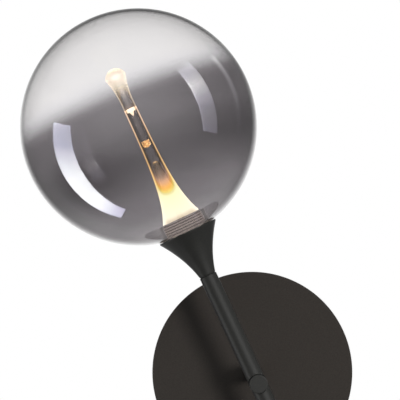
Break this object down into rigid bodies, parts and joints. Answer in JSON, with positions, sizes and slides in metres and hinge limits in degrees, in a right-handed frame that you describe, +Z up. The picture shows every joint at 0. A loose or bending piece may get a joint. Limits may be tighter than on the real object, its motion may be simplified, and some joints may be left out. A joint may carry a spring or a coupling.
{
  "type": "wall sconce",
  "caption": "Wall sconce: round plate, swivelling post and straight tube arm, flared cup, lit clear trumpet guide inside a smoke-fade glass globe.",
  "frame": {"origin": "centre of the wall face, midway between the two wall screw slots of the bracket", "axes": "+Z is up, +X is to the right for a person facing the wall, and +Y points into the wall, so the lamp stands out towards -Y"},
  "size_m": [0.2045, 0.1575, 0.2852],
  "materials": {
    "black_powder_coat": "satin",
    "housing_coat": "matte",
    "zinc_steel": "satin",
    "black_screw": "satin",
    "spring_steel": "satin",
    "green_screw": "satin",
    "brass": "satin",
    "acetal": "satin",
    "aluminium": "satin",
    "collar_aluminium": "satin",
    "board_white": "satin",
    "phosphor": "matte",
    "acrylic": "polished",
    "acrylic_tip": "polished",
    "smoke_glass": "polished",
    "silicone": "satin",
    "driver_case": "satin",
    "terminal_body": "satin",
    "lead_brown": "satin",
    "lead_blue": "satin",
    "lead_green": "satin",
    "cable_white": "satin"
  },
  "bodies": {
    "base": {"front_plate": "black_powder_coat", "back_housing": "housing_coat", "mounting_bracket": "zinc_steel", "side_screws": "black_screw", "earth_screw": "green_screw", "earth_tongue": "brass", "swivel_bushing": "brass", "plate_studs": "zinc_steel", "plate_nuts": "zinc_steel", "stop_pin": "zinc_steel", "led_driver": "driver_case", "driver_screws": "zinc_steel", "terminal_block": "terminal_body", "terminal_screws": "zinc_steel", "live_lead": "lead_brown", "neutral_lead": "lead_blue", "earth_lead": "lead_green", "driver_lead": "cable_white"},
    "arm": {"post": "black_powder_coat", "arm_tube": "black_powder_coat", "tail_tube": "black_powder_coat", "tail_cap": "black_powder_coat", "lamp_cup": "black_powder_coat", "board_screws": "zinc_steel", "stop_washer": "zinc_steel", "swivel_nut": "zinc_steel", "cross_stud": "zinc_steel", "cup_nipple": "zinc_steel", "spring_washer": "spring_steel", "friction_washer": "acetal", "heat_sink": "aluminium", "guide_collar": "collar_aluminium", "led_board": "board_white", "led_emitter": "phosphor", "light_guide": "acrylic", "guide_tip": "acrylic_tip", "arm_lead": "cable_white"},
    "seal": {"globe_gasket": "silicone"},
    "globe": {"glass_globe": "smoke_glass"}
  },
  "joints": [
    {"name": "arm_swivel", "type": "hinge", "parent": "base", "child": "arm", "pos_m": [0, -0.0875, 0], "axis": [0, -1, 0], "range_deg": [-190, 140]},
    {"name": "globe_rise", "type": "slide", "parent": "arm", "child": "seal", "axis": [-0.4226, 0, 0.9063], "range_m": [0, 0.008]},
    {"name": "globe_unscrew", "type": "hinge", "parent": "seal", "child": "globe", "pos_m": [-0.07049, -0.0875, 0.15117], "axis": [-0.4226, 0, 0.9063], "range_deg": [0, 720]}
  ],
  "couplings": [
    {"joint": "globe_rise", "follows": "globe_unscrew", "m_per_rad": 0.0006366}
  ]
}
